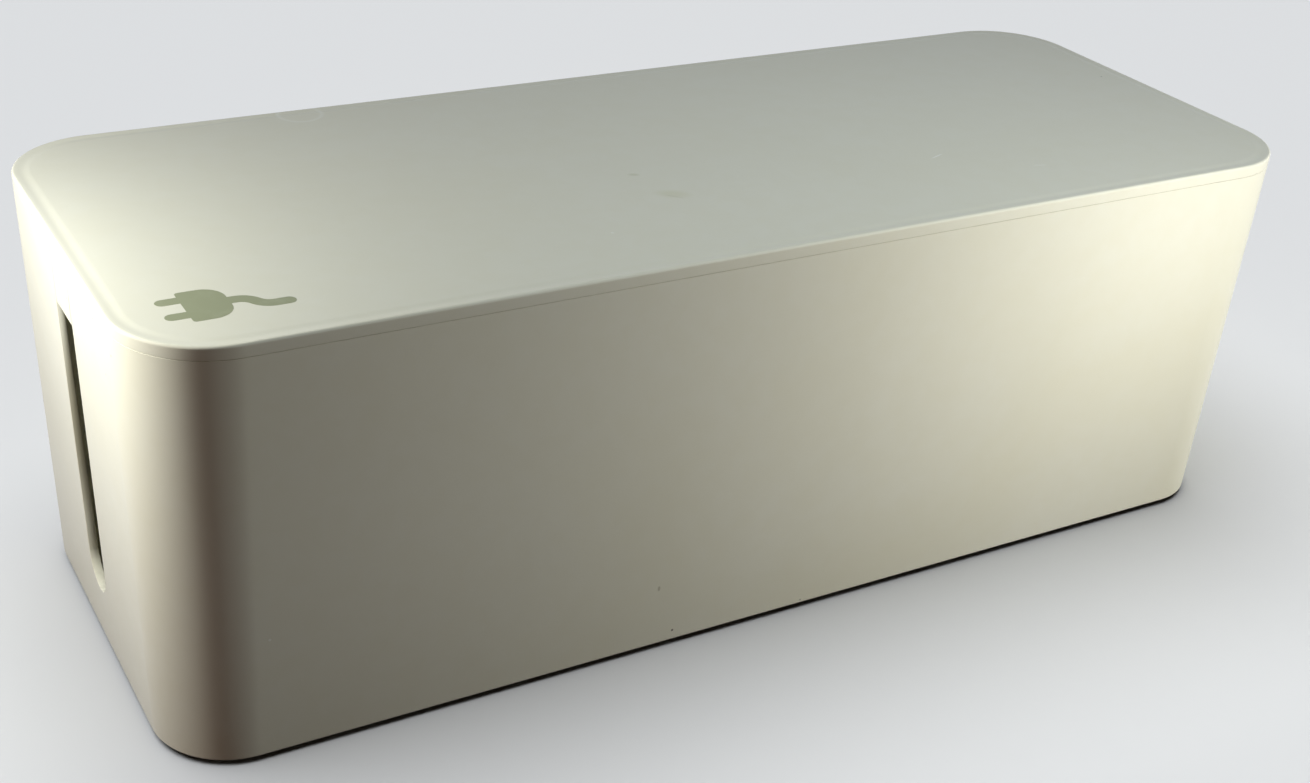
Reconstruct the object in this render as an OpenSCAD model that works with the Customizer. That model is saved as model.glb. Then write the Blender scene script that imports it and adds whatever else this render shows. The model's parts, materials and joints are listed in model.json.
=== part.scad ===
// Cable management box for a desk or floor: a drafted tub with a cable slot in each end,
// a lift-off lid whose tabs close the tops of the slots, and four rubber feet.
// X runs along the box, Z is up, and the origin is on the table under the box's middle.

/* [Box] */
// Length, measured over the lid
box_l = 400; // [300:1:480]
// Width, measured over the lid
box_w = 155; // [125:1:220]
// Height, from the table to the top of the lid
box_h = 135; // [115:1:180]
// Corner radius in plan, at the top
corner_r = 28; // [20:1:40]
// How far each side leans in on its way down to the bottom
lean = 3.9; // [1:0.1:6]

/* [Tub] */
// Wall thickness at the rim
rim_t = 2; // [1.8:0.1:3]
// Wall thickness at the bottom
base_t = 3; // [2:0.1:4]
// Floor thickness
floor_t = 2.5; // [2:0.1:4]
// Outside radius between wall and floor
base_r = 1; // [0.6:0.1:4]
// Inside radius between wall and floor
fillet_r = 3; // [1:0.1:6]
// Chamfer on both outer edges of the seam between tub and lid
seam_c = 0.5; // [0.1:0.1:0.6]
// Lead-in chamfer on the inner edge of the rim
lead_c = 0.6; // [0.2:0.1:1]

/* [Cable slots] */
// Width of each slot
slot_w = 17.8; // [10:0.1:30]
// Height of the slot's lowest point above the table
slot_z = 20.3; // [12:0.1:40]

/* [Lid] */
// Height of the lid's visible rim
lid_h = 4; // [3.4:0.1:8]
// Thickness of the lid's top
lid_t = 2.2; // [1.8:0.1:3]
// Radius of the lid's top edge
edge_r = 1; // [0.6:0.1:1.6]
// Width of the shallow sink line over the lip
sink_w = 4.8; // [3:0.1:8]
// Depth of the sink line
sink_d = 0.08; // [0.02:0.01:0.2]
// Thickness of the lip that locates the lid in the tub
lip_t = 1.5; // [1.2:0.1:2.5]
// How far the lip reaches down into the tub
lip_h = 6; // [3:0.1:12]
// Clearance between the lid and the tub
fit = 0.35; // [0.3:0.05:0.8]
// How far each end tab hangs below the seam
tab_h = 17.8; // [14:0.1:30]
// Thickness of the tab at its lower edge
tab_t = 2.2; // [1.6:0.1:3]
// Stiffening ribs across the underside
ribs = 3; // [1:1:6]
// Thickness of a rib
rib_t = 1.2; // [0.8:0.1:2]
// Height of a rib
rib_h = 3; // [1.5:0.1:5]

/* [Feet] */
// Height of the box's bottom above the table
foot_h = 2; // [1:0.1:4]
// Radius of a foot
foot_r = 7; // [4:0.1:10]
// Depth of the seat that a foot is stuck into
seat_d = 0.8; // [0.4:0.1:1.2]
// Clearance round a foot in its seat
seat_fit = 0.2; // [0.1:0.05:0.4]
// Radius of a foot's lower edge
foot_edge = 0.8; // [0.3:0.1:1]
// Distance from the box's ends to the feet
foot_in_x = 38; // [30:1:80]
// Distance from the box's sides to the feet
foot_in_y = 30; // [26:1:50]

/* [Hidden] */
$fn = 96;
ivory = [0.85, 0.84, 0.74];
pale_ivory = [0.89, 0.88, 0.79];
rubber = [0.16, 0.16, 0.15];
over = 1;                                // how far a cutter runs past what it cuts
seam_z = box_h - lid_h;                  // where the lid sits on the tub
ceiling_z = box_h - lid_t;               // underside of the lid's top
axis_x = box_l / 2 - corner_r;           // the four corner axes stand at (+-axis_x, +-axis_y)
axis_y = box_w / 2 - corner_r;
lean_a = atan(lean / (box_h - foot_h));  // draft angle of the outside

// Reach of the outside from the corner axes at a height
function skin(z) = corner_r - tan(lean_a) * (box_h - z);

// Reach of the tub's inside at a height: the wall thickens on its way down
function lining(z) = skin(z) - rim_t - (base_t - rim_t) * (seam_z - z) / (seam_z - foot_h);

lip_out = lining(seam_z - lip_h) - fit;  // reach of the lip's outer and inner faces
lip_in = lip_out - lip_t;

// Slice of a disc between two angles, to round a corner of an outline
module slice(centre, r, from, to)
    translate(centre)
        intersection() {
            circle(r);
            polygon([[0, 0], 2 * r * [cos(from), sin(from)], 2 * r * [cos(to), sin(to)]]);
        }

// 45 degree chamfer to take off an outline's corner
module chamfer(corner, c)
    translate(corner) rotate(45) square(c * sqrt(2), center = true);

// Half outline of a drafted bucket from height low to height high, r is its bottom radius
module bucket(low, high, low_reach, high_reach, r) {
    a = atan((high_reach - low_reach) / (high - low));
    centre = [low_reach + r * tan(a) - r / cos(a), low + r];
    touch = centre + r * [cos(a), -sin(a)];
    polygon([[0, low], [centre.x, low], centre, touch, [high_reach, high], [0, high]]);
    slice(centre, r, -90, -a);
}

// Carries a half outline round the box, its x being the reach from the corner axes, and
// fills the middle between the axes from height low to height high
module around(low, high) {
    translate([-axis_x, -axis_y, low]) cube([2 * axis_x, 2 * axis_y, high - low]);
    for (i = [0:3]) {
        out = i % 2 == 0 ? axis_x : axis_y;
        along = i % 2 == 0 ? axis_y : axis_x;
        rotate(90 * i) {
            translate([out, 0, 0]) rotate([90, 0, 0]) linear_extrude(2 * along, center = true) children();
            translate([out, along, 0]) rotate_extrude(angle = 90) children();
        }
    }
}

// A slot's outline, round at the bottom and open at the top, cut through both ends at once
module slots() {
    slot_r = slot_w / 2;
    rotate([90, 0, 90])
        linear_extrude(box_l + 2 * over, center = true) {
            translate([0, slot_z + slot_r]) circle(slot_r);
            translate([-slot_r, slot_z + slot_r]) square([slot_w, box_h - slot_z]);
        }
}

// Puts its children at a foot's place, sx and sy are the signs of the corner
module at_foot(sx, sy)
    translate([sx * (box_l / 2 - foot_in_x), sy * (box_w / 2 - foot_in_y), 0]) children();

// Wall and floor of the tub
module tub_outline()
    difference() {
        bucket(foot_h, seam_z, skin(foot_h), skin(seam_z), base_r);
        bucket(foot_h + floor_t, seam_z + over, lining(foot_h + floor_t), lining(seam_z + over), fillet_r);
        chamfer([skin(seam_z), seam_z], seam_c);
        chamfer([lining(seam_z), seam_z], lead_c);
    }

module tub()
    color(ivory)
        difference() {
            around(foot_h, foot_h + floor_t) tub_outline();
            slots();
            for (sx = [-1, 1], sy = [-1, 1])
                at_foot(sx, sy) translate([0, 0, foot_h - over]) cylinder(h = seat_d + over, r = foot_r + seat_fit);
        }

// Outside of the lid: the wall's lean goes on up to the edge radius, and the sink line runs
// round the flat top beside it
module lid_block() {
    sink_r = (sink_w * sink_w / 4 + sink_d * sink_d) / (2 * sink_d);
    edge = [skin(box_h - edge_r) - edge_r / cos(lean_a), box_h - edge_r];
    touch = edge + edge_r * [cos(lean_a), -sin(lean_a)];
    difference() {
        polygon([[0, seam_z], [skin(seam_z), seam_z], touch, edge, [edge.x, box_h], [0, box_h]]);
        translate([edge.x - sink_w / 2, box_h + sink_r - sink_d]) circle(sink_r, $fn = 720);
    }
    slice(edge, edge_r, -lean_a, 90);
}

// Top, rim and locating lip of the lid
module lid_outline() {
    difference() {
        lid_block();
        translate([0, seam_z - over]) square([lip_in, ceiling_z - seam_z + over]);
        chamfer([skin(seam_z), seam_z], seam_c);
    }
    difference() {
        translate([lip_in, seam_z - lip_h]) square([lip_t, lip_h]);
        chamfer([lip_out, seam_z - lip_h], lip_t / 2);
    }
}

// End tab: flush with the outside, and thickening up to the lip's inner face
module tab() {
    tab_z = seam_z - tab_h;
    root_z = (seam_z + ceiling_z) / 2;
    translate([axis_x, 0, 0])
        rotate([90, 0, 0])
            linear_extrude(slot_w - 2 * fit, center = true)
                polygon([
                    [lip_in, root_z], [skin(root_z), root_z],
                    [skin(tab_z), tab_z], [skin(tab_z) - tab_t, tab_z],
                    [lip_in, seam_z - lip_h]
                ]);
}

module lid()
    color(pale_ivory) {
        around(ceiling_z, box_h) lid_outline();
        for (end = [0, 180]) rotate(end) tab();
        for (i = [1:ribs])
            translate([box_l * (i / (ribs + 1) - 1 / 2), 0, ceiling_z - rib_h / 2])
                cube([rib_t, 2 * (axis_y + lip_in) + lip_t, rib_h], center = true);
    }

// Round rubber foot, stuck in its seat under the floor
module foot(sx, sy)
    color(rubber)
        at_foot(sx, sy)
            rotate_extrude() {
                flat_r = foot_r - foot_edge;
                polygon([
                    [0, 0], [flat_r, 0], [flat_r, foot_edge], [foot_r, foot_edge],
                    [foot_r, foot_h + seat_d], [0, foot_h + seat_d]
                ]);
                slice([flat_r, foot_edge], foot_edge, -90, 0);
            }

tub();
lid();
foot(-1, -1);  // foot_front_left
foot(1, -1);  // foot_front_right
foot(-1, 1);  // foot_rear_left
foot(1, 1);  // foot_rear_right
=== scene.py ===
import json
import math

import bmesh
import bpy
from mathutils import Matrix, Vector

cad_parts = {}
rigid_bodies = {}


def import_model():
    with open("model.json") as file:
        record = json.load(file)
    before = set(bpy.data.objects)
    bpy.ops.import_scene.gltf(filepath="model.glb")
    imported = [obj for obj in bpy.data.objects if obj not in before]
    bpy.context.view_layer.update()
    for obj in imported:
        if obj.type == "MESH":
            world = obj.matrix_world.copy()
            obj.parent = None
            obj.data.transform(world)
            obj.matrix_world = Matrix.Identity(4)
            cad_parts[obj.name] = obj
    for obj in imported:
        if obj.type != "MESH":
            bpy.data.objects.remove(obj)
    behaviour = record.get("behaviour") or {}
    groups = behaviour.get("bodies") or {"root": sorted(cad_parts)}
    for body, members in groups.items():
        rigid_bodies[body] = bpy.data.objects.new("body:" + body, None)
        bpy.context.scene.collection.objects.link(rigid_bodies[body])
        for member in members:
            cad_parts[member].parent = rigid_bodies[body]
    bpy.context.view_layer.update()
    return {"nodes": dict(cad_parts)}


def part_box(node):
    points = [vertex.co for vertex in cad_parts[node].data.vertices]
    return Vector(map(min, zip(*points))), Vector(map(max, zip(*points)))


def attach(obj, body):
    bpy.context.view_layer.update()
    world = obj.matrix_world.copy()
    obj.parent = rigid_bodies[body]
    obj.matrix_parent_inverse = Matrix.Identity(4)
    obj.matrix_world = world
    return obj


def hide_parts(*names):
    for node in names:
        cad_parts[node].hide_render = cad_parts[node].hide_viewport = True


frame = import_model()
scene = bpy.context.scene
print("frame loaded:", ", ".join(sorted(frame["nodes"])))

# Metres throughout. X runs along the box, Z is up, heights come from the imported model.
box = {
    "length": 0.400,            # over the lid
    "width": 0.155,
    "cornerRadius": 0.028,      # in plan, at the top
    "lean": 0.0039,             # how far each side leans in on its way down
    "cornerSteps": 28,          # flats round each corner
    "edgeSteps": 6,             # flats round each small radius of an outline
    "topZ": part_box("lid")[1].z,
    "seamZ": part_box("tub")[1].z,
    "bottomZ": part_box("tub")[0].z,
    "softEdge": 0.00025,        # radius on edges that were left sharp by the mould
    "sharpAngle": 60,           # degrees from which an edge counts as sharp
}
slope = box["lean"] / (box["topZ"] - box["bottomZ"])
cornerX = box["length"] / 2 - box["cornerRadius"]      # the corner axes stand this far out
tiny = 1e-6                                             # closer than this is the same place


# Half width of the outside, measured from the corner axes
def skinReach(z):
    return box["cornerRadius"] - slope * (box["topZ"] - z)


# Points along an arc, both ends included
def arc(centre, radius, fromAngle, toAngle, steps):
    angles = [fromAngle + (toAngle - fromAngle) * i / steps for i in range(steps + 1)]
    return [(centre[0] + radius * math.cos(a), centre[1] + radius * math.sin(a)) for a in angles]


# Arc from a flat bottom up to the wall that leans outwards above it
def bottomArc(lowReach, lowZ, lean, radius):
    a = math.atan(lean)
    centre = (lowReach + radius * math.tan(a) - radius / math.cos(a), lowZ + radius)
    return arc(centre, radius, -math.pi / 2, -a, box["edgeSteps"])


def meshObject(name, points, edges=(), faces=()):
    mesh = bpy.data.meshes.new(name)
    mesh.from_pydata(points, edges, faces)
    piece = bpy.data.objects.new(name, mesh)
    scene.collection.objects.link(piece)
    return piece


# Makes what the modifiers show the piece's own mesh
def freeze(piece):
    shown = piece.evaluated_get(bpy.context.evaluated_depsgraph_get())
    shape = bpy.data.meshes.new_from_object(shown)
    piece.modifiers.clear()
    piece.data = shape
    return piece


# Closed bar between two flat outlines that have the same number of points
def prism(name, lower, upper):
    count = len(lower)
    sides = [(i, (i + 1) % count, count + (i + 1) % count, count + i) for i in range(count)]
    piece = meshObject(name, lower + upper, faces=[range(count), range(count, 2 * count), *sides])
    work = bmesh.new()
    work.from_mesh(piece.data)
    bmesh.ops.recalc_face_normals(work, faces=work.faces)
    work.to_mesh(piece.data)
    work.free()
    return piece


# Links a node's input to another node's output, or sets its own value
def feed(tree, given, value):
    if isinstance(value, bpy.types.NodeSocket):
        tree.links.new(value, given)
    else:
        given.default_value = value


def addNode(tree, kind, inputs=(), **settings):
    node = tree.nodes.new(kind)
    for name, value in settings.items():
        setattr(node, name, value)
    for key, value in dict(inputs).items():
        feed(tree, node.inputs[key], value)
    return node


# Output of a maths node on two values, each a number or another node's output
def combined(tree, operation, first, second):
    return addNode(tree, "ShaderNodeMath", {0: first, 1: second}, operation=operation).outputs[0]


def scaled(tree, value, factor):
    return combined(tree, "MULTIPLY", value, factor)


# New node group; inputs are (label, kind of socket, default), outputs (label, kind of socket)
def newTree(name, kind, inputs, outputs):
    tree = bpy.data.node_groups.new(name, kind)
    for label, socket, *value in inputs:
        made = tree.interface.new_socket(label, in_out="INPUT", socket_type="NodeSocket" + socket)
        if value:
            made.default_value = value[0]
    for label, socket in outputs:
        tree.interface.new_socket(label, in_out="OUTPUT", socket_type="NodeSocket" + socket)
    return tree, tree.nodes.new("NodeGroupInput").outputs, tree.nodes.new("NodeGroupOutput").inputs


# Last nodes of a geometry tree: real mesh, in the finish that the tree is given
def endTree(tree, last, material, shown):
    real = addNode(tree, "GeometryNodeRealizeInstances", {"Geometry": last.outputs[0]})
    finish = addNode(tree, "GeometryNodeSetMaterial", {
        "Geometry": real.outputs[0], "Material": material})
    tree.links.new(finish.outputs[0], shown)


# Carries an outline, drawn as a line of points, round a rectangle with round corners
def buildSweepTree():
    tree, given, result = newTree("roundBoxSweep", "GeometryNodeTree", [
        ("Outline", "Geometry"), ("Length", "Float"), ("Width", "Float"),
        ("Corner Radius", "Float"), ("Corner Steps", "Int"), ("Finish", "Material"),
    ], [("Shell", "Geometry")])
    plan = addNode(tree, "GeometryNodeCurvePrimitiveQuadrilateral",
                   {"Width": given["Length"], "Height": given["Width"]})
    path = addNode(tree, "GeometryNodeFilletCurve", {
        "Curve": plan.outputs[0], "Radius": given["Corner Radius"], "Count": given["Corner Steps"],
        "Limit Radius": True,
    }, mode="POLY")
    profile = addNode(tree, "GeometryNodeMeshToCurve", {"Mesh": given["Outline"]})
    skin = addNode(tree, "GeometryNodeCurveToMesh", {
        "Curve": path.outputs[0], "Profile Curve": profile.outputs[0]})
    smooth = addNode(tree, "GeometryNodeSetShadeSmooth", {"Geometry": skin.outputs[0]})
    endTree(tree, smooth, given["Finish"], result["Shell"])
    return tree


# A row of equal bars along X, centred on the box
def buildRibTree():
    tree, given, result = newTree("ribRow", "GeometryNodeTree", [
        ("Piece", "Geometry"), ("Count", "Int"), ("Spacing", "Float"), ("Size", "Vector"),
        ("Height", "Float"), ("Finish", "Material"),
    ], [("Ribs", "Geometry")])
    span = scaled(tree, combined(tree, "SUBTRACT", given["Count"], 1.0), given["Spacing"])
    start = addNode(tree, "ShaderNodeCombineXYZ", {
        "X": scaled(tree, span, -0.5), "Z": given["Height"]})
    step = addNode(tree, "ShaderNodeCombineXYZ", {"X": given["Spacing"]})
    row = addNode(tree, "GeometryNodeMeshLine", {
        "Count": given["Count"], "Start Location": start.outputs[0], "Offset": step.outputs[0]})
    bar = addNode(tree, "GeometryNodeMeshCube", {"Size": given["Size"]})
    copies = addNode(tree, "GeometryNodeInstanceOnPoints", {
        "Points": row.outputs[0], "Instance": bar.outputs[0]})
    endTree(tree, copies, given["Finish"], result["Ribs"])
    return tree


# Runs a geometry tree on a piece and keeps the mesh that it makes
def useTree(piece, tree, values):
    modifier = piece.modifiers.new(tree.name, "NODES")
    modifier.node_group = tree
    for item in tree.interface.items_tree:
        if item.in_out == "INPUT" and item.name in values:
            modifier[item.identifier] = values[item.name]
    return freeze(piece)


# Shell of the box's plan from an outline of (reach, height) points
def sweepShell(name, outline, finish):
    points = [(reach - box["cornerRadius"], -z, 0) for reach, z in outline]
    piece = meshObject(name, points, edges=[(i, i + 1) for i in range(len(points) - 1)])
    return useTree(piece, sweepTree, {
        "Length": box["length"], "Width": box["width"], "Corner Radius": box["cornerRadius"],
        "Corner Steps": box["cornerSteps"], "Finish": finish,
    })


# Joins the sweep's doubled points and fills the flats in the box's middle
def fillEnds(work):
    bmesh.ops.remove_doubles(work, verts=work.verts, dist=tiny)
    bmesh.ops.holes_fill(work, edges=[e for e in work.edges if e.is_boundary], sides=0)


# Puts the worked mesh back into its piece, with every face smooth and facing outwards
def closeUp(work, piece):
    bmesh.ops.recalc_face_normals(work, faces=work.faces)
    for face in work.faces:
        face.smooth = True
    work.to_mesh(piece.data)
    work.free()


# Cuts or joins other solids, softens the sharp edges and evens out the shading
def finishSolid(piece, others, operation):
    for other in others:
        modifier = piece.modifiers.new(other.name, "BOOLEAN")
        modifier.operation = operation
        modifier.solver = "EXACT"
        modifier.object = other
    bevel = piece.modifiers.new("softEdges", "BEVEL")
    bevel.width = box["softEdge"]
    bevel.segments = 3
    bevel.limit_method = "ANGLE"
    bevel.angle_limit = math.radians(box["sharpAngle"])
    bevel.use_clamp_overlap = False
    piece.modifiers.new("evenShading", "WEIGHTED_NORMAL")
    freeze(piece)
    for other in others:
        bpy.data.objects.remove(other)
    for face in piece.data.polygons:
        face.use_smooth = True
        face.material_index = 0
    return piece


# Fine mould grain over faint waves as a height, and the grain alone as a speckle
def buildGrainGroup():
    tree, given, result = newTree("mouldGrain", "ShaderNodeTree", [
        ("Position", "Vector"), ("Grain Scale", "Float", 2600.0), ("Wave Scale", "Float", 150.0),
        ("Grain Share", "Float", 0.5),
    ], [("Height", "Float"), ("Speckle", "Float")])
    grain = addNode(tree, "ShaderNodeTexNoise", {
        "Vector": given["Position"], "Scale": given["Grain Scale"], "Detail": 2.0,
        "Roughness": 0.6})
    wave = addNode(tree, "ShaderNodeTexNoise", {
        "Vector": given["Position"], "Scale": given["Wave Scale"], "Detail": 1.0, "Roughness": 0.4})
    height = addNode(tree, "ShaderNodeMix", {
        "Factor": given["Grain Share"], "A": wave.outputs["Fac"], "B": grain.outputs["Fac"]})
    tree.links.new(height.outputs["Result"], result["Height"])
    tree.links.new(grain.outputs["Fac"], result["Speckle"])
    return tree


# Broad soft patches, 0 to 1, for yellowing and for what hands leave on a surface
def buildPatchGroup():
    tree, given, result = newTree("softPatches", "ShaderNodeTree", [
        ("Position", "Vector"), ("Scale", "Float", 14.0), ("Low", "Float", 0.4),
        ("High", "Float", 0.7), ("Warp", "Float", 0.6),
    ], [("Mask", "Float")])
    noise = addNode(tree, "ShaderNodeTexNoise", {
        "Vector": given["Position"], "Scale": given["Scale"], "Detail": 4.0, "Roughness": 0.55,
        "Distortion": given["Warp"]})
    mask = addNode(tree, "ShaderNodeMapRange", {
        "Value": noise.outputs["Fac"], "From Min": given["Low"], "From Max": given["High"]},
        interpolation_type="SMOOTHSTEP")
    tree.links.new(mask.outputs["Result"], result["Mask"])
    return tree


# Short hairline scratches in one direction, broken up by patches
def buildHairlineGroup():
    tree, given, result = newTree("hairlines", "ShaderNodeTree", [
        ("Position", "Vector"), ("Turn", "Vector"), ("Stretch", "Vector", (60.0, 2400.0, 2400.0)),
        ("Rarity", "Float", 0.80), ("Fade", "Float", 0.04),
    ], [("Mask", "Float")])
    turned = addNode(tree, "ShaderNodeMapping", {
        "Vector": given["Position"], "Rotation": given["Turn"], "Scale": given["Stretch"]})
    lines = addNode(tree, "ShaderNodeTexNoise", {
        "Vector": turned.outputs[0], "Scale": 1.0, "Detail": 0.0})
    mask = addNode(tree, "ShaderNodeMapRange", {
        "Value": lines.outputs["Fac"], "From Min": given["Rarity"],
        "From Max": combined(tree, "ADD", given["Rarity"], given["Fade"])})
    tree.links.new(mask.outputs["Result"], result["Mask"])
    return tree


# Scattered dust specks, one at most in each cell
def buildSpeckGroup():
    tree, given, result = newTree("dustSpecks", "ShaderNodeTree", [
        ("Position", "Vector"), ("Scale", "Float", 90.0), ("Size", "Float", 0.03),
        ("Share", "Float", 0.06),
    ], [("Mask", "Float")])
    cells = addNode(tree, "ShaderNodeTexVoronoi", {
        "Vector": given["Position"], "Scale": given["Scale"]})
    near = combined(tree, "LESS_THAN", cells.outputs["Distance"], given["Size"])
    pick = addNode(tree, "ShaderNodeSeparateColor", {"Color": cells.outputs["Color"]})
    some = combined(tree, "LESS_THAN", pick.outputs[0], given["Share"])
    tree.links.new(scaled(tree, near, some), result["Mask"])
    return tree


# One mark at a place: a soft oval, or a ring where Hollow is above 0
def buildMarkGroup():
    tree, given, result = newTree("placedMark", "ShaderNodeTree", [
        ("Position", "Vector"), ("Place", "Vector"), ("Turn", "Vector"),
        ("Reach", "Vector", (0.004, 0.004, 0.004)), ("Hollow", "Float", 0.0), ("Blur", "Float", 0.5),
    ], [("Mask", "Float")])
    moved = addNode(tree, "ShaderNodeVectorMath", {
        0: given["Position"], 1: given["Place"]}, operation="SUBTRACT")
    turned = addNode(tree, "ShaderNodeVectorRotate", {
        "Vector": moved.outputs[0], "Rotation": given["Turn"]}, rotation_type="EULER_XYZ")
    sized = addNode(tree, "ShaderNodeVectorMath", {
        0: turned.outputs[0], 1: given["Reach"]}, operation="DIVIDE")
    away = addNode(tree, "ShaderNodeVectorMath", {0: sized.outputs[0]}, operation="LENGTH")
    full = combined(tree, "SUBTRACT", 1.0, given["Blur"])
    outside = addNode(tree, "ShaderNodeMapRange", {
        "Value": away.outputs["Value"], "From Min": 1.0, "From Max": full},
        interpolation_type="SMOOTHSTEP")
    inside = addNode(tree, "ShaderNodeMapRange", {
        "Value": away.outputs["Value"], "From Min": given["Hollow"], "From Max": full},
        interpolation_type="SMOOTHSTEP")
    hollowed = combined(tree, "GREATER_THAN", given["Hollow"], 0.0)
    kept = addNode(tree, "ShaderNodeMix", {
        "Factor": hollowed, "A": 1.0, "B": inside.outputs["Result"]})
    tree.links.new(scaled(tree, outside.outputs["Result"], kept.outputs["Result"]), result["Mask"])
    return tree


groups = {
    "grain": buildGrainGroup(),
    "patches": buildPatchGroup(),
    "hairlines": buildHairlineGroup(),
    "specks": buildSpeckGroup(),
    "mark": buildMarkGroup(),
}
print("shader groups built:", len(groups))


def useGroup(tree, name, inputs):
    return addNode(tree, "ShaderNodeGroup", inputs, node_tree=groups[name])


def blendColour(tree, factor, first, second):
    node = addNode(tree, "ShaderNodeMix", {0: factor}, data_type="RGBA")
    for key, value in ((6, first), (7, second)):
        feed(tree, node.inputs[key], (*value, 1) if isinstance(value, tuple) else value)
    return node.outputs[2]


def newMaterial(name):
    material = bpy.data.materials.new(name)
    material.use_nodes = True
    tree = material.node_tree
    tree.nodes.clear()
    output = addNode(tree, "ShaderNodeOutputMaterial")
    place = addNode(tree, "ShaderNodeTexCoord").outputs["Object"]
    return material, tree, output, place


plastic = {
    "ivory": (0.740, 0.722, 0.575),
    "aged": (0.700, 0.665, 0.475),      # where light has yellowed it
    "handled": (0.640, 0.640, 0.545),
    "speck": (0.10, 0.085, 0.06),
    "tubYellowingAndShade": 0.50,                    # how far light has yellowed the tub and the lid; the tub's larger share is partly painted warm shade on its walls
    "lidAged": 0.25,
    "mottle": 0.18,                     # shares in the colour of the fine yellow mottle,
    "handling": 0.10,                   # of handling, of the grain and of the specks
    "grain": 0.06,
    "specks": 0.55,
    "roughness": 0.235,
    "roughnessHandled": 0.27,
    "scuffWear": 0.5,                   # how much a hairline roughens, and how deep it lies
    "scuffDepth": 0.25,
    "grainBump": 0.6,
    "grainDepth": 0.000012,
}


# Ivory plastic, yellowed as far as aged says, with its placed marks; on the tub, part of the yellowing
# is painted warm shade and the slot-wall marks are painted shade
def ivoryPlastic(name, marks, aged):
    material, tree, output, place = newMaterial(name)

    def group(kind, **values):
        return useGroup(tree, kind, {"Position": place, **values}).outputs

    yellowed = group("patches", Scale=9.0, Low=0.35, High=0.75)["Mask"]
    mottled = group("patches", Scale=130.0, Low=0.3, High=0.7, Warp=0.3)["Mask"]
    handled = group("patches", Scale=18.0, Low=0.40, High=0.85, Warp=0.4)["Mask"]
    specks = group("specks")["Mask"]
    grain = group("grain")
    lines = group("hairlines", Turn=(0, 0, 0.5))["Mask"]
    crossed = group("hairlines", Turn=(0, 0, -0.9), Rarity=0.82)["Mask"]

    colour = plastic["ivory"]
    for mask, share, tone in [
        (yellowed, aged, "aged"),
        (mottled, plastic["mottle"], "aged"),
        (handled, plastic["handling"], "handled"),
        (grain["Speckle"], plastic["grain"], "handled"),
        (specks, plastic["specks"], "speck"),
    ]:
        colour = blendColour(tree, scaled(tree, mask, share), colour, plastic[tone])
    for mark in marks:
        spot = group("mark", Place=mark["place"], Reach=mark["reach"], Turn=(0, 0, mark.get("turn", 0)),
                     Hollow=mark.get("hollow", 0.0), Blur=mark["blur"])["Mask"]
        colour = blendColour(tree, scaled(tree, spot, mark["strength"]), colour, mark["colour"])

    scuffs = combined(tree, "MAXIMUM", lines, crossed)
    worn = combined(tree, "MAXIMUM", handled, scaled(tree, scuffs, plastic["scuffWear"]))
    rough = addNode(tree, "ShaderNodeMapRange", {
        "Value": worn, "To Min": plastic["roughness"], "To Max": plastic["roughnessHandled"]})
    dented = combined(tree, "SUBTRACT", grain["Height"], scaled(tree, scuffs, plastic["scuffDepth"]))
    bump = addNode(tree, "ShaderNodeBump", {
        "Height": dented, "Strength": plastic["grainBump"], "Distance": plastic["grainDepth"]})
    shader = addNode(tree, "ShaderNodeBsdfPrincipled", {
        "Base Color": colour, "Roughness": rough.outputs["Result"], "Normal": bump.outputs[0],
        "IOR": 1.46, "Specular IOR Level": 0.5})
    tree.links.new(shader.outputs[0], output.inputs["Surface"])
    return material


# What years of use left on the lid: a ring at the rear edge, stains, scratches and a speck;
# a mark above 0 in hollow is a ring, and turn is in radians about Z
lidMarks = [
    {"place": (-0.1040, 0.0729, 0.135), "reach": (0.0082, 0.0082, 0.01), "hollow": 0.72, "blur": 0.14,
     "colour": (0.86, 0.86, 0.76), "strength": 0.35},
    {"place": (-0.0225, -0.0300, 0.135), "reach": (0.0075, 0.0042, 0.01), "turn": 0.5, "blur": 0.8,
     "colour": (0.60, 0.58, 0.34), "strength": 0.35},
    {"place": (-0.0230, -0.0320, 0.135), "reach": (0.0045, 0.0007, 0.01), "turn": 0.75, "blur": 0.8,
     "colour": (0.40, 0.38, 0.22), "strength": 0.18},
    {"place": (-0.0262, -0.0120, 0.135), "reach": (0.0026, 0.0015, 0.01), "turn": 0.4, "blur": 0.8,
     "colour": (0.52, 0.51, 0.30), "strength": 0.45},
    {"place": (0.0765, -0.0325, 0.135), "reach": (0.0040, 0.00035, 0.01), "turn": -0.35, "blur": 0.5,
     "colour": (0.92, 0.92, 0.84), "strength": 0.6},
    {"place": (-0.0539, -0.0496, 0.135), "reach": (0.0007, 0.0007, 0.01), "blur": 0.6,
     "colour": (0.92, 0.92, 0.84), "strength": 0.35},
    {"place": (0.1046, -0.0512, 0.135), "reach": (0.0030, 0.0003, 0.01), "turn": 0.3, "blur": 0.5,
     "colour": (0.90, 0.90, 0.82), "strength": 0.5},
]
# Specks and a run of dirt low on the front
tubMarks = [
    {"place": (-0.0376, -0.0737, 0.0057), "reach": (0.0005, 0.004, 0.0005), "blur": 0.3,
     "colour": plastic["speck"], "strength": 0.85},
    {"place": (-0.0440, -0.0742, 0.0236), "reach": (0.0006, 0.004, 0.0012), "blur": 0.5,
     "colour": (0.36, 0.32, 0.20), "strength": 0.6},
    {"place": (-0.1684, -0.0748, 0.0420), "reach": (0.0005, 0.004, 0.0005), "blur": 0.3,
     "colour": (0.92, 0.92, 0.84), "strength": 0.6},
]
# Painted shade on the cut walls of both slots, darkening the walls where no lamp reaches them
slotWallShade = {
    "reach": (0.0045, 0.0008, 0.0520), "blur": 0.35,
    "colour": (0.300, 0.265, 0.160), "strength": 0.70}
tubMarks += [{"place": (x, y, 0.0760), **slotWallShade} for x in (-0.1965, 0.1965) for y in (-0.0084, 0.0084)]

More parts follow.
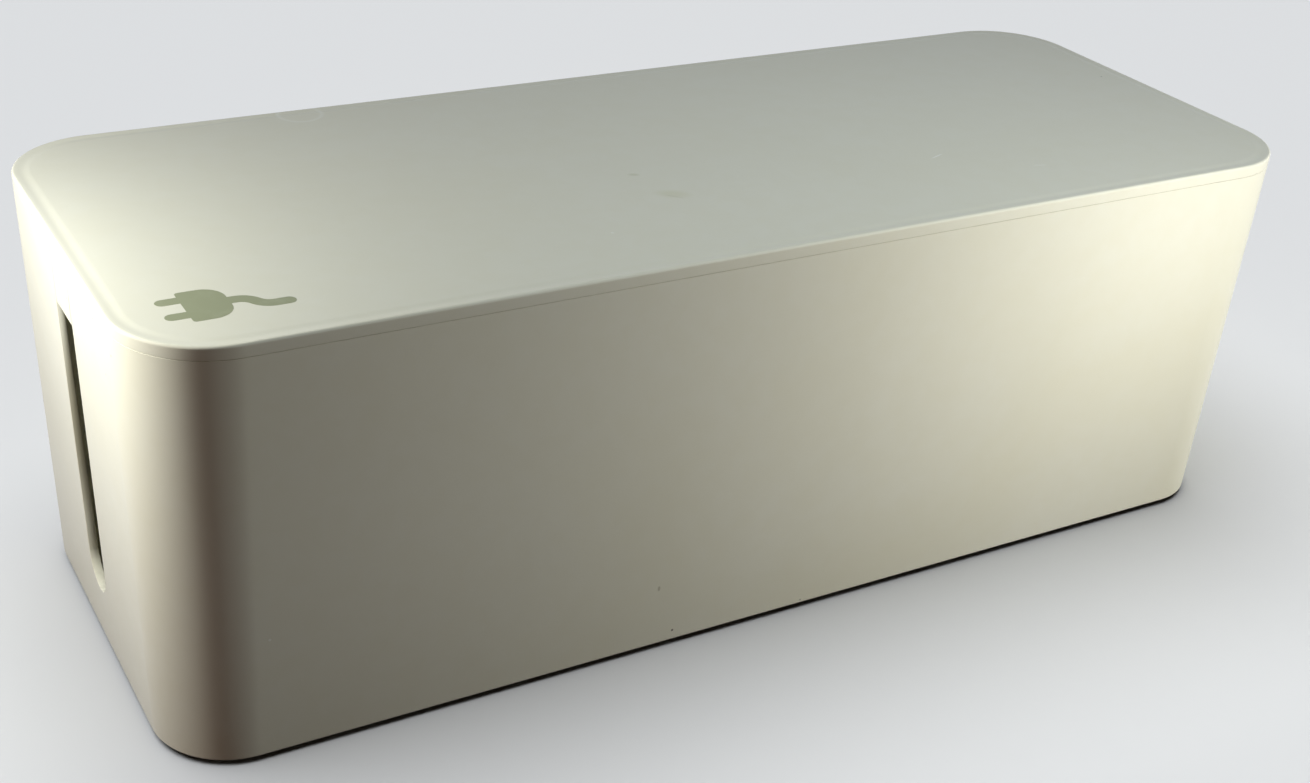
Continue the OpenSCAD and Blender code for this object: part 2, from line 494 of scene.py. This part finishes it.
ink = {
    "olive": (0.262, 0.280, 0.155),
    "worn": (0.36, 0.37, 0.24),
    "wear": 0.5,                        # share of the worn patches in the colour
    "speckle": 0.15,
    "smoothest": 0.37,                  # roughness, between these two
    "roughest": 0.47,
}


def oliveInk():
    material, tree, output, place = newMaterial("oliveInk")
    worn = useGroup(tree, "patches", {"Position": place, "Scale": 110.0, "Low": 0.45, "High": 0.85})
    grain = useGroup(tree, "grain", {"Position": place, "Grain Share": 0.8})
    speckle = grain.outputs["Speckle"]
    colour = blendColour(tree, scaled(tree, worn.outputs[0], ink["wear"]), ink["olive"], ink["worn"])
    colour = blendColour(tree, scaled(tree, speckle, ink["speckle"]), colour, ink["worn"])
    rough = addNode(tree, "ShaderNodeMapRange", {
        "Value": speckle, "To Min": ink["smoothest"], "To Max": ink["roughest"]})
    bump = addNode(tree, "ShaderNodeBump", {
        "Height": grain.outputs["Height"], "Strength": plastic["grainBump"],
        "Distance": plastic["grainDepth"]})
    shader = addNode(tree, "ShaderNodeBsdfPrincipled", {
        "Base Color": colour, "Roughness": rough.outputs["Result"], "Normal": bump.outputs[0]})
    tree.links.new(shader.outputs[0], output.inputs["Surface"])
    return material


rubber = {
    "black": (0.030, 0.029, 0.027),
    "dusty": (0.11, 0.10, 0.085),
    "dust": 0.5,                        # share of the dust in the colour
    "roughness": 0.62,
    "roughnessDusty": 0.9,
    "grainBump": 0.8,
    "grainDepth": 0.00004,
}


def footRubber():
    material, tree, output, place = newMaterial("footRubber")
    dust = useGroup(tree, "patches", {"Position": place, "Scale": 320.0, "Low": 0.5, "High": 0.8})
    grain = useGroup(tree, "grain", {"Position": place, "Grain Scale": 3200.0, "Wave Scale": 600.0})
    colour = blendColour(
        tree, scaled(tree, dust.outputs[0], rubber["dust"]), rubber["black"], rubber["dusty"])
    rough = addNode(tree, "ShaderNodeMapRange", {
        "Value": dust.outputs[0], "To Min": rubber["roughness"], "To Max": rubber["roughnessDusty"]})
    bump = addNode(tree, "ShaderNodeBump", {
        "Height": grain.outputs["Height"], "Strength": rubber["grainBump"],
        "Distance": rubber["grainDepth"]})
    shader = addNode(tree, "ShaderNodeBsdfPrincipled", {
        "Base Color": colour, "Roughness": rough.outputs["Result"], "Normal": bump.outputs[0]})
    tree.links.new(shader.outputs[0], output.inputs["Surface"])
    return material


# The tub's yellowing share is partly painted warm shade on its walls
tubPlastic = ivoryPlastic("tubPlastic", tubMarks, plastic["tubYellowingAndShade"])
lidPlastic = ivoryPlastic("lidPlastic", lidMarks, plastic["lidAged"])
inkFinish = oliveInk()
rubberFinish = footRubber()
print("materials made:", len(bpy.data.materials))

sweepTree = buildSweepTree()
ribTree = buildRibTree()

tub = {
    "rimWall": 0.002,
    "baseWall": 0.003,
    "floor": 0.0025,
    "baseRadius": 0.0006,
    "filletRadius": 0.003,
    "seamChamfer": 0.00015,
    "leadChamfer": 0.0006,
    "slotWidth": 0.0178,
    "slotBottomZ": 0.0203,
    "seatFit": 0.0002,          # clearance round each foot in its seat
    "cutterOver": 0.001,        # how far a seat's cutter runs past the underside
}


# Reach of the tub's inside: the wall thickens on its way down
def liningReach(z):
    thicker = (tub["baseWall"] - tub["rimWall"]) / (box["seamZ"] - box["bottomZ"])
    return skinReach(z) - tub["rimWall"] - thicker * (box["seamZ"] - z)


# From the middle of the underside out, up the wall, over the rim and down to the floor
def tubOutline():
    seam, bottom = box["seamZ"], box["bottomZ"]
    floorZ = bottom + tub["floor"]
    innerSlope = (liningReach(seam) - liningReach(floorZ)) / (seam - floorZ)
    outside = bottomArc(skinReach(bottom), bottom, slope, tub["baseRadius"])
    inside = bottomArc(liningReach(floorZ), floorZ, innerSlope, tub["filletRadius"])
    rim = [
        (skinReach(seam), seam - tub["seamChamfer"]),
        (skinReach(seam) - tub["seamChamfer"], seam),
        (liningReach(seam) + tub["leadChamfer"], seam),
        (liningReach(seam), seam - tub["leadChamfer"]),
    ]
    return outside + rim + inside[::-1]


# Stadium with an open top, run through both ends of the box
def slotCutter():
    radius = tub["slotWidth"] / 2
    outline = arc((0, tub["slotBottomZ"] + radius), radius, -math.pi, 0, steps=32)
    outline = [(-radius, box["topZ"])] + outline + [(radius, box["topZ"])]
    reach = box["length"] / 2 + radius
    left, right = ([(x, y, z) for y, z in outline] for x in (-reach, reach))
    return prism("slotCutter", left, right)


# Shallow round seat under each foot
def seatCutter(foot):
    low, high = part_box(foot)
    radius = (high.x - low.x) / 2 + tub["seatFit"]
    centre = ((low.x + high.x) / 2, (low.y + high.y) / 2)
    ring = arc(centre, radius, 0, 2 * math.pi, steps=64)[:-1]
    startZ = box["bottomZ"] - tub["cutterOver"]
    return prism("seat_" + foot, [(x, y, startZ) for x, y in ring], [(x, y, high.z) for x, y in ring])


footNames = [name for name in sorted(frame["nodes"]) if name.startswith("foot")]


# The tub: a closed shell, then the slots and the feet's seats cut out of it
def makeBody():
    piece = sweepShell("boxBody", tubOutline(), tubPlastic)
    work = bmesh.new()
    work.from_mesh(piece.data)
    fillEnds(work)
    closeUp(work, piece)
    return finishSolid(piece, [slotCutter(), *map(seatCutter, footNames)], "DIFFERENCE")


lid = {
    "topWall": 0.0022,
    "edgeRadius": 0.0008,
    "edgeInset": 0.00001,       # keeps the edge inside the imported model's box
    "sinkWidth": 0.0048,        # of the shallow sink line over the lip
    "sinkDepth": 0.00012,
    "sinkSteps": 16,
    "lipWall": 0.0015,
    "lipHeight": 0.006,
    "fit": 0.00035,
    "tabWall": 0.0022,
    "tabShift": 0.00028,        # the tabs lean on the front side of their slots
    "tabZ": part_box("lid")[0].z,
    "ribs": 3,
    "ribWall": 0.0012,
    "ribHeight": 0.003,
    "inkThickness": 0.00002,
}
lipOut = liningReach(box["seamZ"] - lid["lipHeight"]) - lid["fit"]
lipIn = lipOut - lid["lipWall"]
ceilingZ = box["topZ"] - lid["topWall"]


# Flat top, the shallow sink line over the lip, then the edge arc down to the leaning rim
def lidShoulder():
    top, radius = box["topZ"] - lid["inkThickness"], lid["edgeRadius"]
    lean = math.atan(slope)
    edge = (skinReach(top - radius) - radius / math.cos(lean) - lid["edgeInset"], top - radius)
    steps = lid["sinkSteps"]
    sink = []
    for i in range(steps):
        across = i / steps
        dip = lid["sinkDepth"] * (1 - math.cos(2 * math.pi * across)) / 2
        sink.append((edge[0] - lid["sinkWidth"] * (1 - across), top - dip))
    return sink + arc(edge, radius, math.pi / 2, -lean, box["edgeSteps"])


# Underside of the rim and the lip, from the outside in
def lidSeat():
    seam, lipZ = box["seamZ"], box["seamZ"] - lid["lipHeight"]
    chamfer, lead = tub["seamChamfer"], lid["lipWall"] / 2
    return [
        (skinReach(seam + chamfer), seam + chamfer), (skinReach(seam) - chamfer, seam), (lipOut, seam),
        (lipOut, lipZ + lead), (lipOut - lead, lipZ), (lipIn, lipZ),
    ]


# Opens the rim across the tab's width and draws the tab down from it, flush with the outside
def hangTab(work, side):
    half = tub["slotWidth"] / 2 - lid["fit"]
    sides = (-half - lid["tabShift"], half - lid["tabShift"])

    def crosses(face, y):
        along = [v.co.y for v in face.verts]
        return min(along) < y - tiny and max(along) > y + tiny

    for y in sides:
        strips = [f for f in work.faces if side * f.calc_center_median().x > cornerX and crosses(f, y)]
        touched = {v for f in strips for v in f.verts} | {e for f in strips for e in f.edges}
        bmesh.ops.bisect_plane(
            work, geom=strips + list(touched), plane_co=(0, y, 0), plane_no=(0, 1, 0))
    highest = box["seamZ"] + tub["seamChamfer"] + tiny
    middle = [f for f in work.faces if side * f.calc_center_median().x > cornerX
              and abs(f.calc_center_median().y + lid["tabShift"]) < tiny
              and max(v.co.z for v in f.verts) < highest]
    bmesh.ops.delete(work, geom=middle, context="FACES")
    rim = [v for v in work.verts if v.is_boundary]

    def rimVert(reach, y, z):
        return min(rim, key=lambda v: (v.co - Vector((side * (cornerX + reach), y, z))).length)

    tabZ = lid["tabZ"]
    tip = [(skinReach(tabZ) - lid["tabWall"], tabZ), (skinReach(tabZ), tabZ)]
    chains = []
    for y in sides:
        chain = [rimVert(reach, y, z) for reach, z in lidSeat()]
        chain += [work.verts.new((side * (cornerX + reach), y, z)) for reach, z in tip]
        work.faces.new(chain)
        chains.append(chain)
    near, far = chains
    for i, j in ((-1, 0), (-2, -1), (-3, -2)):
        work.faces.new((near[i], near[j], far[j], far[i]))


# Stiffening ribs across the underside, from the middle of one lip wall to the other
def makeRibs():
    across = box["width"] - 2 * box["cornerRadius"] + 2 * lipIn + lid["lipWall"]
    return useTree(meshObject("ribRow", []), ribTree, {
        "Count": lid["ribs"], "Spacing": box["length"] / (lid["ribs"] + 1),
        "Size": (lid["ribWall"], across, lid["ribHeight"]),
        "Height": ceilingZ - lid["ribHeight"] / 2 + lid["topWall"] / 4, "Finish": lidPlastic,
    })


# The lid: a closed shell that the tabs are drawn down from, then the ribs joined to it
def makeLid():
    outline = lidShoulder() + lidSeat() + [(lipIn, ceilingZ)]
    piece = sweepShell("boxLid", outline, lidPlastic)
    work = bmesh.new()
    work.from_mesh(piece.data)
    fillEnds(work)
    for side in (-1, 1):
        hangTab(work, side)
    closeUp(work, piece)
    return finishSolid(piece, [makeRibs()], "UNION")


# Plug and cord sign printed on the lid, drawn in one closed outline
sign = {
    "centre": (-0.1692, -0.0523),
    "bodyLength": 0.0120,
    "bodyWidth": 0.0180,
    "bodyRadius": 0.0062,
    "prongLength": 0.0062,
    "prongWidth": 0.0038,
    "prongGap": 0.0090,         # between the prongs' middles
    "cordWidth": 0.0040,
    "cordBend": 0.0054,         # radius of the cord's middle line
    "cordTurn": 1.05,           # how far each bend turns, in radians
    "cordStart": 0.0015,        # straight lengths before and after the bends
    "cordEnd": 0.0034,
    "faceRadius": 0.001,        # on the corners beside the prongs
    "depth": 0.0001,            # how far the ink reaches into the lid
}


# Middle line as (x, y, heading), through bends of (radius, angle) and straights of (length, 0)
def walk(x, y, heading, moves):
    line = [(x, y, heading)]
    for size, turn in moves:
        steps = 12 if turn else 1
        for _ in range(steps):
            half = turn / steps / 2
            chord = 2 * size * math.sin(abs(half)) if turn else size
            heading += half
            x, y = x + chord * math.cos(heading), y + chord * math.sin(heading)
            heading += half
            line.append((x, y, heading))
    return line


# Counter-clockwise: out along the cord and back, then round the body and its two prongs
def signOutline():
    s = sign
    right, left = s["bodyLength"] / 2, -s["bodyLength"] / 2
    top, prong, cord = s["bodyWidth"] / 2, s["prongWidth"] / 2, s["cordWidth"] / 2
    line = walk(right, 0, 0, [
        (s["cordStart"], 0), (s["cordBend"], -s["cordTurn"]), (s["cordBend"], s["cordTurn"]),
        (s["cordEnd"], 0)])
    upper = [(x - cord * math.sin(a), y + cord * math.cos(a)) for x, y, a in line]
    lower = [(x + cord * math.sin(a), y - cord * math.cos(a)) for x, y, a in line]
    endX, endY, _ = line[-1]
    outline = lower + arc((endX, endY), cord, -math.pi / 2, math.pi / 2, 12)[1:-1] + upper[::-1]
    radius, small = s["bodyRadius"], s["faceRadius"]
    outline += arc((right - radius, top - radius), radius, 0, math.pi / 2, 12)
    outline += arc((left + small, top - small), small, math.pi / 2, math.pi, 4)
    for middle in (s["prongGap"] / 2, -s["prongGap"] / 2):
        tip = left - s["prongLength"] + prong
        outline += [(left, middle + prong)] + arc((tip, middle), prong, math.pi / 2, 1.5 * math.pi, 12)
        outline += [(left, middle - prong)]
    outline += arc((left + small, small - top), small, math.pi, 1.5 * math.pi, 4)
    outline += arc((right - radius, radius - top), radius, -math.pi / 2, 0, 12)
    return outline


def makeSign():
    outline = signOutline()
    middleX = (min(x for x, _ in outline) + max(x for x, _ in outline)) / 2
    placed = [(x - middleX + sign["centre"][0], y + sign["centre"][1]) for x, y in outline]
    top = box["topZ"]
    below = top - sign["depth"]
    piece = prism("lidSign", [(x, y, below) for x, y in placed], [(x, y, top) for x, y in placed])
    piece.data.materials.append(inkFinish)
    return piece


body = makeBody()
print("box body:", len(body.data.polygons), "faces")
cover = makeLid()
print("lid:", len(cover.data.polygons), "faces")
signPiece = makeSign()
for piece, part in ((body, "tub"), (cover, "lid")):
    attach(piece, part)
    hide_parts(part)
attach(signPiece, "lid")
feet = [frame["nodes"][name] for name in footNames]
for foot in feet:
    foot.data.materials.clear()
    foot.data.materials.append(rubberFinish)

studio = {
    "floorSize": 12.0,
    "floorColour": (0.66, 0.68, 0.70),
    "floorBounce": (0.012, 0.011, 0.010),
    "worldColour": (0.715, 0.734, 0.751),
    "ambient": (0.021, 0.014, 0.0083),
}


# 1 where the camera, a reflection or a clear material sees this, 0 where it only lights
def seenDirectly(tree):
    path = addNode(tree, "ShaderNodeLightPath").outputs
    seen = combined(tree, "MAXIMUM", path["Is Camera Ray"], path["Is Glossy Ray"])
    return combined(tree, "MAXIMUM", seen, path["Is Transmission Ray"])


def makeFloor():
    half = studio["floorSize"] / 2
    corners = [(-half, -half, 0), (half, -half, 0), (half, half, 0), (-half, half, 0)]
    floor = meshObject("paleFloor", corners, faces=[(0, 1, 2, 3)])
    material, tree, output, _ = newMaterial("paleFloor")
    colour = blendColour(tree, seenDirectly(tree), studio["floorBounce"], studio["floorColour"])
    matt = addNode(tree, "ShaderNodeBsdfDiffuse", {"Color": colour})
    clear = addNode(tree, "ShaderNodeBsdfTransparent")
    below = addNode(tree, "ShaderNodeNewGeometry").outputs["Backfacing"]
    sided = addNode(tree, "ShaderNodeMixShader", {0: below, 1: matt.outputs[0], 2: clear.outputs[0]})
    tree.links.new(sided.outputs[0], output.inputs["Surface"])
    floor.data.materials.append(material)
    return floor


def makeWorld():
    world = bpy.data.worlds.new("studioWorld")
    scene.world = world
    world.use_nodes = True
    tree = world.node_tree
    tree.nodes.clear()
    colour = blendColour(tree, seenDirectly(tree), studio["ambient"], studio["worldColour"])
    glow = addNode(tree, "ShaderNodeBackground", {"Color": colour, "Strength": 1.0})
    tree.links.new(glow.outputs[0], addNode(tree, "ShaderNodeOutputWorld").inputs["Surface"])


# kind, place, what it points at, watts (for the sun W/m2), tint, size; all light the box
# apart from the sun, which gives the floor its soft shadow
lamps = {
    "leftLamp": ("POINT", (-0.309, -0.014, 0.193), None,
                 1.80, (0.96, 0.98, 1.0), 0.02),
    "rightLamp": ("POINT", (0.158, -0.235, 0.138), None,
                  1.43, (0.98, 0.98, 1.0), 0.05),
    "leftBounce": ("AREA", (-0.75, -0.12, 0.05), (-0.2, -0.05, 0.06),
                   0.32, (1.0, 0.52, 0.33), (0.60, 0.10)),
    "overhead": ("AREA", (0.095, -0.150, 0.520), (0.095, -0.150, 0),
                 1.015, (0.80, 0.90, 1.0), (0.20, 0.20)),
    "rearFill": ("AREA", (0.00, 0.65, 0.067), (0, 0, 0.067),
                 1.8, (1.0, 1.0, 1.0), (0.70, 0.13)),
    "endFill": ("AREA", (0.65, -0.03, 0.067), (0, -0.03, 0.067),
                2.36, (1.0, 1.0, 0.95), (0.40, 0.13)),
    "floorSun": ("SUN", (-0.15, 0.12, 1.0), (0, 0, 0),
                 3.4, (1.0, 1.0, 1.0), 1.1),
}


# One lamp, which reaches only the things in lit and is seen in nothing
def makeLamp(name, kind, place, aim, power, tint, size, lit):
    light = bpy.data.lights.new(name, kind)
    light.energy = power
    light.color = tint
    if kind == "POINT":
        light.shadow_soft_size = size
    elif kind == "AREA":
        light.shape = "RECTANGLE"
        light.size, light.size_y = size
    else:
        light.angle = size
    lamp = bpy.data.objects.new(name, light)
    lamp.location = place
    if aim:
        lamp.rotation_mode = "QUATERNION"
        lamp.rotation_quaternion = (Vector(aim) - Vector(place)).to_track_quat("-Z", "Y")
    lamp.visible_camera = False
    lamp.visible_glossy = False
    scene.collection.objects.link(lamp)
    reach = bpy.data.collections.new(name + "Reach")
    for thing in lit:
        reach.objects.link(thing)
    lamp.light_linking.receiver_collection = reach


floor = makeFloor()
makeWorld()
for name, values in lamps.items():
    lit = [floor] if name == "floorSun" else [body, cover, signPiece, *feet]
    makeLamp(name, *values, lit)
print("studio lit with", len(lamps), "lamps")

# Where the camera stands and how it is held
view = {
    "place": (-0.295291, -0.474110, 0.345737),
    "turn": 0.549,              # clockwise from +Y, in radians
    "dip": 0.492,
    "roll": 0.073,
    "lens": 50.42,
}


def makeCamera():
    turn, dip, roll = view["turn"], view["dip"], view["roll"]
    ahead = Vector((math.sin(turn) * math.cos(dip), math.cos(turn) * math.cos(dip), -math.sin(dip)))
    level = Vector((math.cos(turn), -math.sin(turn), 0))
    upright = level.cross(ahead)
    right = level * math.cos(roll) + upright * math.sin(roll)
    up = upright * math.cos(roll) - level * math.sin(roll)
    data = bpy.data.cameras.new("camera")
    data.lens = view["lens"]
    data.clip_start = 0.01
    camera = bpy.data.objects.new("camera", data)
    camera.matrix_world = Matrix((right, up, -ahead)).transposed().to_4x4()
    camera.location = view["place"]
    scene.collection.objects.link(camera)
    scene.camera = camera


makeCamera()
scene.view_settings.view_transform = "Standard"

print("scene ready")
